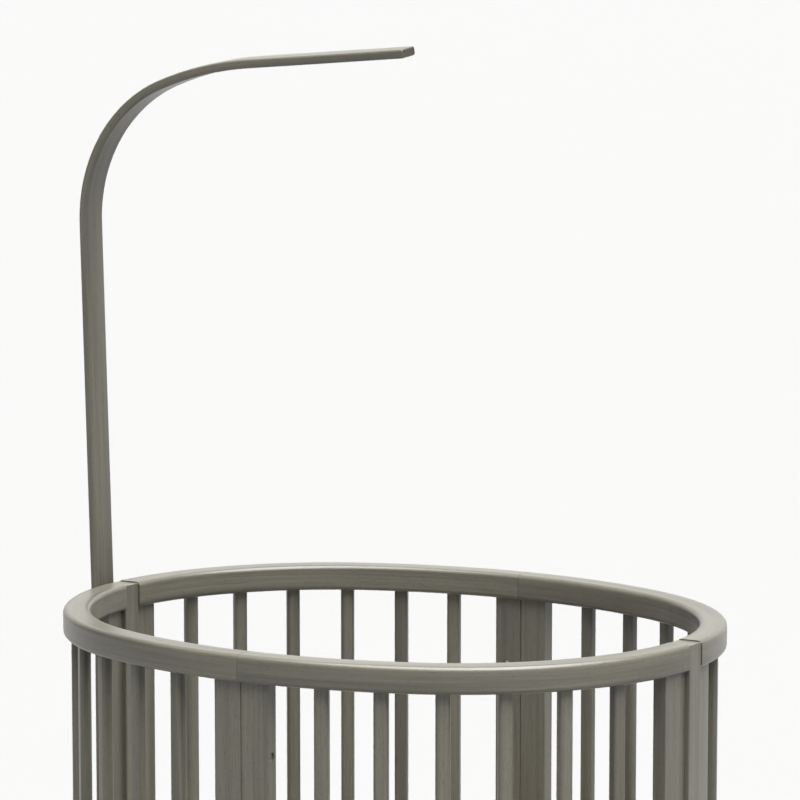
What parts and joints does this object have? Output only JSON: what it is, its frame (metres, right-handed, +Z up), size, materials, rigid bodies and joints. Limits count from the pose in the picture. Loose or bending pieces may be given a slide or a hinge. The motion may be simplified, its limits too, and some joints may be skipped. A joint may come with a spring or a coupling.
{
  "type": "baby cradle",
  "caption": "Oval slatted wooden cradle on swivel casters, with a raised ventilated mattress base and a bentwood canopy rod over the head end.",
  "frame": {"origin": "on the floor, under the middle of the bounding box", "axes": "+Z up, +X along the oval's long axis from the head end with the canopy rod to the foot end, -Y to the front"},
  "size_m": [0.8517, 0.674, 1.5537],
  "materials": {
    "stained_wood": "grey stain under a satin lacquer",
    "board": "pale lacquered plywood",
    "steel": "zinc plated",
    "plastic": "fine grained moulding",
    "tyre": "soft matte"
  },
  "bodies": {
    "cradle": {"rail_top_front_right": "stained_wood", "rail_top_back_right": "stained_wood", "rail_top_back_left": "stained_wood", "rail_top_front_left": "stained_wood", "rail_low_front_right": "stained_wood", "rail_low_back_right": "stained_wood", "rail_low_back_left": "stained_wood", "rail_low_front_left": "stained_wood", "side_panel_front_right": "stained_wood", "side_panel_back_right": "stained_wood", "side_panel_back_left": "stained_wood", "side_panel_front_left": "stained_wood", "end_panel_front_right": "stained_wood", "end_panel_back_right": "stained_wood", "end_panel_back_left": "stained_wood", "end_panel_front_left": "stained_wood", "slats_front_right": "stained_wood", "slats_back_right": "stained_wood", "slats_back_left": "stained_wood", "slats_front_left": "stained_wood", "post_foot": "stained_wood", "post_head": "stained_wood", "foot_block_foot": "stained_wood", "foot_block_head": "stained_wood", "foot_block_back": "stained_wood", "foot_block_front": "stained_wood", "rod_holder": "stained_wood", "dowels": "board", "base_board": "board", "base_battens": "board", "foot_block_screws": "steel", "panel_bolts": "steel", "barrel_nuts": "steel", "base_brackets": "steel", "base_bolts": "steel", "threaded_inserts": "steel", "rod_holder_screws": "steel", "caster_sockets": "steel", "rod_clamp_screw": "plastic"},
    "rod": {"canopy_rod": "stained_wood"},
    "swivel_foot": {"fork_foot": "plastic", "axle_foot": "steel"},
    "wheel_foot": {"hub_foot": "plastic", "tyre_foot": "tyre"},
    "pedal_foot": {"brake_foot": "plastic"},
    "swivel_head": {"fork_head": "plastic", "axle_head": "steel"},
    "wheel_head": {"hub_head": "plastic", "tyre_head": "tyre"},
    "pedal_head": {"brake_head": "plastic"},
    "swivel_back": {"fork_back": "plastic", "axle_back": "steel"},
    "wheel_back": {"hub_back": "plastic", "tyre_back": "tyre"},
    "swivel_front": {"fork_front": "plastic", "axle_front": "steel"},
    "wheel_front": {"hub_front": "plastic", "tyre_front": "tyre"}
  },
  "joints": [
    {"name": "rod_lift", "type": "slide", "parent": "cradle", "child": "rod", "axis": [-0.0279, 0, 0.9996], "range_m": [0, 0.06]},
    {"name": "swivel_foot", "type": "hinge", "parent": "cradle", "child": "swivel_foot", "pos_m": [0.40974, 0, 0.09], "axis": [0, 0, 1], "continuous": true},
    {"name": "wheel_spin_foot", "type": "hinge", "parent": "swivel_foot", "child": "wheel_foot", "pos_m": [0.40974, 0.022, 0.03], "axis": [-1, 0, 0], "continuous": true},
    {"name": "brake_pedal_foot", "type": "hinge", "parent": "swivel_foot", "child": "pedal_foot", "pos_m": [0.40974, 0.038, 0.062], "axis": [-1, 0, 0], "range_deg": [0, 15]},
    {"name": "swivel_head", "type": "hinge", "parent": "cradle", "child": "swivel_head", "pos_m": [-0.37776, 0, 0.09], "axis": [0, 0, 1], "continuous": true},
    {"name": "wheel_spin_head", "type": "hinge", "parent": "swivel_head", "child": "wheel_head", "pos_m": [-0.37776, -0.022, 0.03], "axis": [1, 0, 0], "continuous": true},
    {"name": "brake_pedal_head", "type": "hinge", "parent": "swivel_head", "child": "pedal_head", "pos_m": [-0.37776, -0.038, 0.062], "axis": [1, 0, 0], "range_deg": [0, 15]},
    {"name": "swivel_back", "type": "hinge", "parent": "cradle", "child": "swivel_back", "pos_m": [0.01599, 0.3205, 0.09], "axis": [0, 0, 1], "continuous": true},
    {"name": "wheel_spin_back", "type": "hinge", "parent": "swivel_back", "child": "wheel_back", "pos_m": [-0.00601, 0.3205, 0.03], "axis": [0, -1, 0], "continuous": true},
    {"name": "swivel_front", "type": "hinge", "parent": "cradle", "child": "swivel_front", "pos_m": [0.01599, -0.3205, 0.09], "axis": [0, 0, 1], "continuous": true},
    {"name": "wheel_spin_front", "type": "hinge", "parent": "swivel_front", "child": "wheel_front", "pos_m": [0.03799, -0.3205, 0.03], "axis": [0, 1, 0], "continuous": true}
  ]
}
